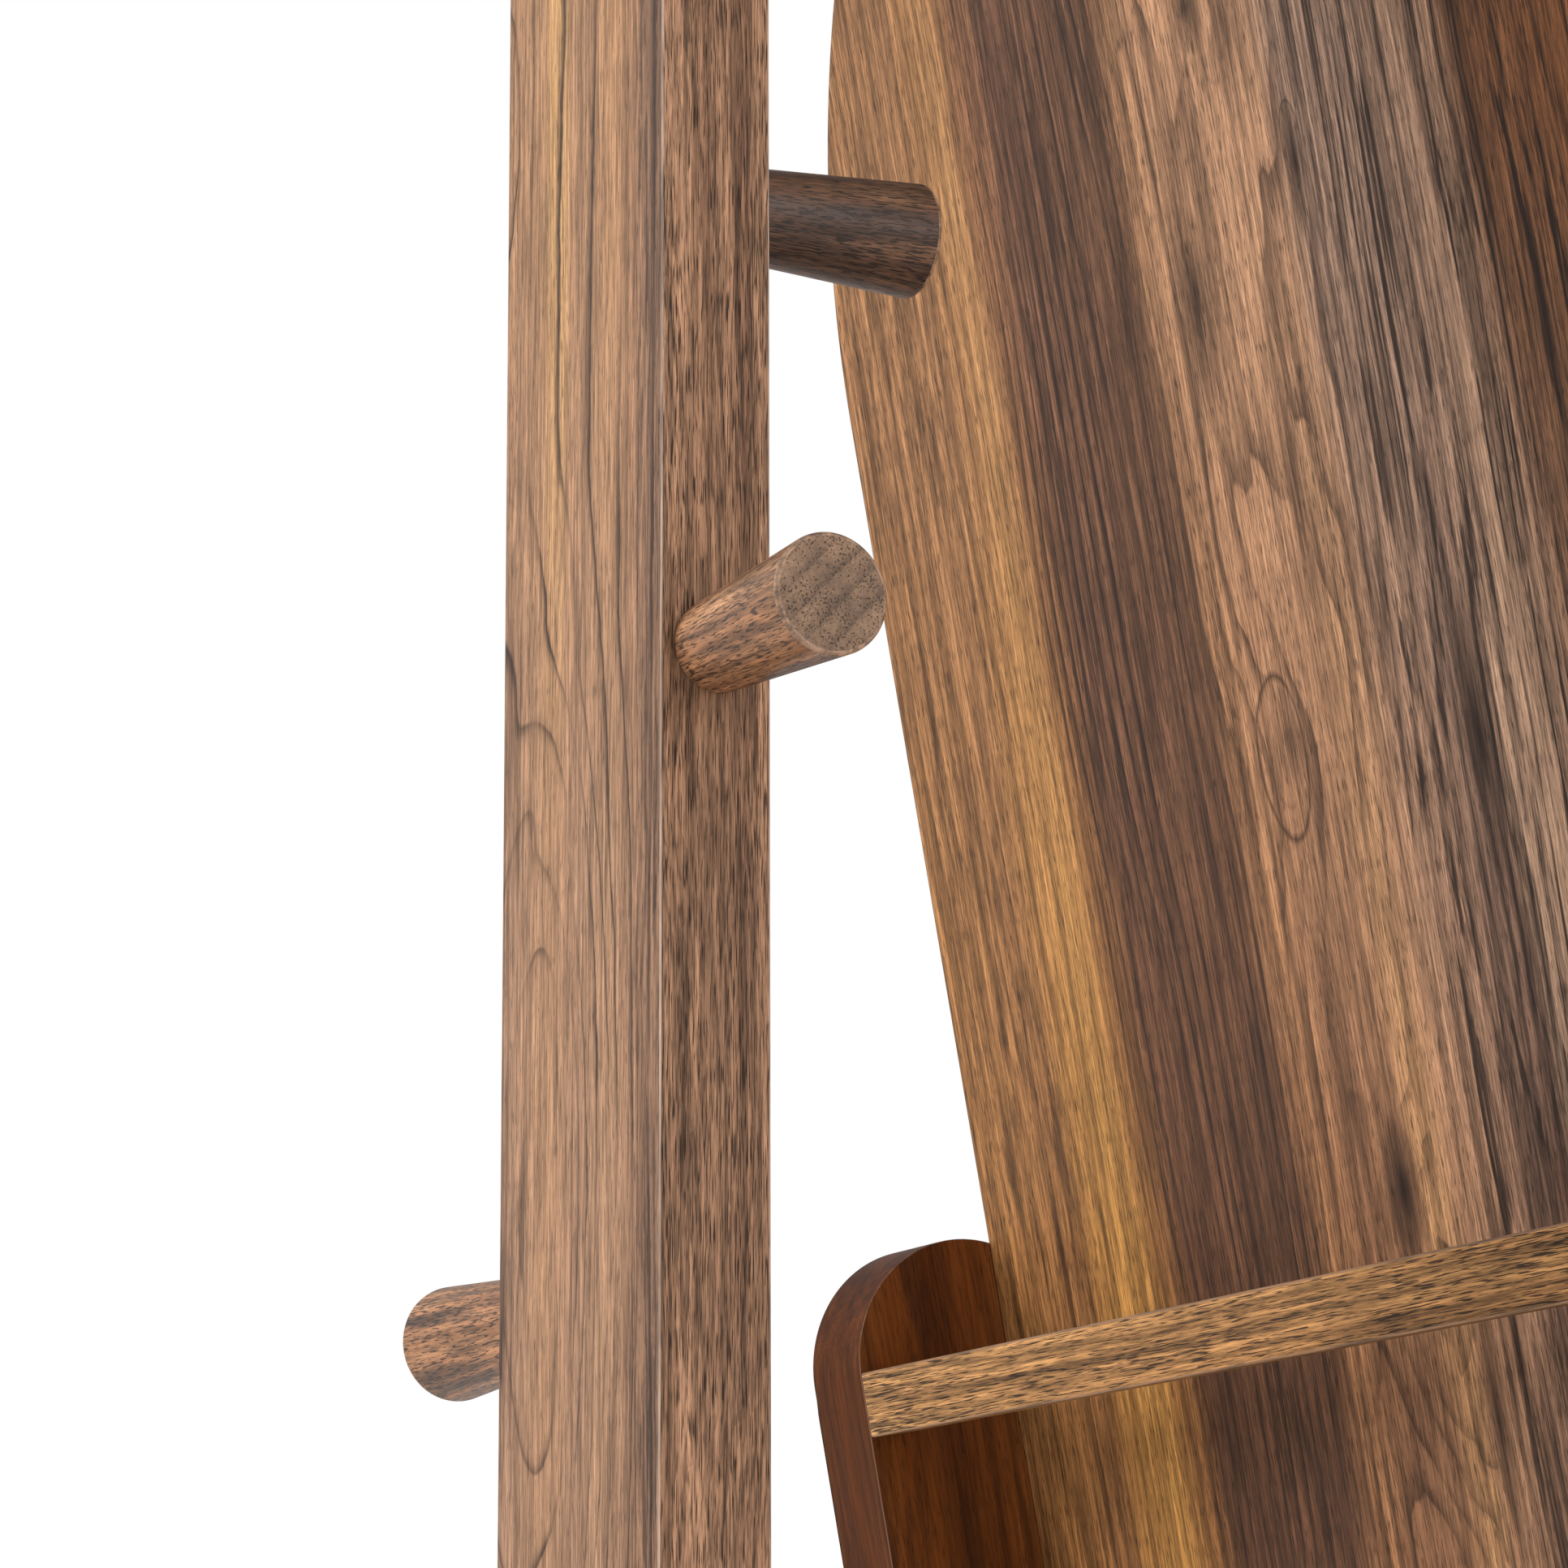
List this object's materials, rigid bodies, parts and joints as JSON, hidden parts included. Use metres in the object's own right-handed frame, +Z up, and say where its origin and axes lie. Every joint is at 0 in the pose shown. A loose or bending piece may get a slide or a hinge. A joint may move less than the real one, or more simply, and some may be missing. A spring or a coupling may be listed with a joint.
{
  "type": "folding coat stand with mirror and luggage rack",
  "caption": "Folding walnut stand: arched leaning mirror, round-topped side legs, rear pockets, coat post with tapered pegs, fold-up slatted luggage rack.",
  "frame": {"origin": "centre of the footprint on the floor, with the stand open", "axes": "+Z up; -Y the way the mirror faces; +X to the right of a person who looks into the mirror"},
  "size_m": [0.576, 0.5664, 1.76],
  "materials": {
    "walnut_veneer": "satin lacquered walnut veneer, straight and cathedral grain",
    "walnut": "satin lacquered walnut, fine pores",
    "peg_walnut": "turned dark walnut, satin",
    "light_walnut": "golden straight-grained walnut, satin",
    "dark_walnut": "reddish dark walnut, satin",
    "mirror": "silvered float glass",
    "brass": "satin brass",
    "steel": "plain zinc steel",
    "rubber": "black rubber",
    "nylon": "white nylon",
    "felt": "dark wool felt",
    "tape": "black foam mounting tape"
  },
  "bodies": {
    "mirror_frame": {"arch_board": "walnut_veneer", "mirror_glass": "mirror", "mirror_tape": "tape", "left_leg": "dark_walnut", "right_leg": "dark_walnut", "top_rail": "light_walnut", "lower_rail": "light_walnut", "bottom_rail": "light_walnut", "top_pocket_floor": "walnut_veneer", "lower_pocket_floor": "walnut_veneer", "frame_bolts": "brass", "leg_pads": "rubber", "hinge_bracket": "brass", "bracket_screws": "brass", "hinge_pin": "steel", "hinge_nut": "steel", "hinge_washers": "nylon", "rack_pins": "steel", "rack_washers": "nylon"},
    "post": {"coat_post": "walnut", "peg_1": "peg_walnut", "peg_2": "peg_walnut", "peg_3": "peg_walnut", "peg_4": "peg_walnut", "peg_5": "peg_walnut", "peg_6": "peg_walnut", "peg_7": "peg_walnut", "peg_8": "peg_walnut", "peg_studs": "steel", "hinge_arm": "walnut", "arm_bush": "brass", "arm_bolts": "brass", "foot_bar": "walnut", "foot_bolts": "steel", "foot_pads": "rubber", "cross_bar": "walnut", "cross_bar_bolts": "brass"},
    "rack": {"rack_side_left": "walnut", "rack_side_right": "walnut", "front_batten": "walnut", "middle_batten": "walnut", "rear_batten_left": "walnut", "rear_batten_right": "walnut", "rack_slat_1": "light_walnut", "rack_slat_2": "light_walnut", "rack_slat_3": "light_walnut", "rack_slat_4": "light_walnut", "rack_slat_5": "light_walnut", "rack_slat_6": "light_walnut", "slat_screws": "brass", "rack_bolts": "brass", "rack_bushes": "brass", "rack_pads": "felt"}
  },
  "joints": [
    {"name": "post_fold", "type": "hinge", "parent": "mirror_frame", "child": "post", "pos_m": [0, 0.06072, 1.588], "axis": [-1, 0, 0], "range_deg": [0, 10.4]},
    {"name": "rack_fold", "type": "hinge", "parent": "mirror_frame", "child": "rack", "pos_m": [0, -0.16256, 0.375], "axis": [1, 0, 0], "range_deg": [0, 79.5]}
  ]
}
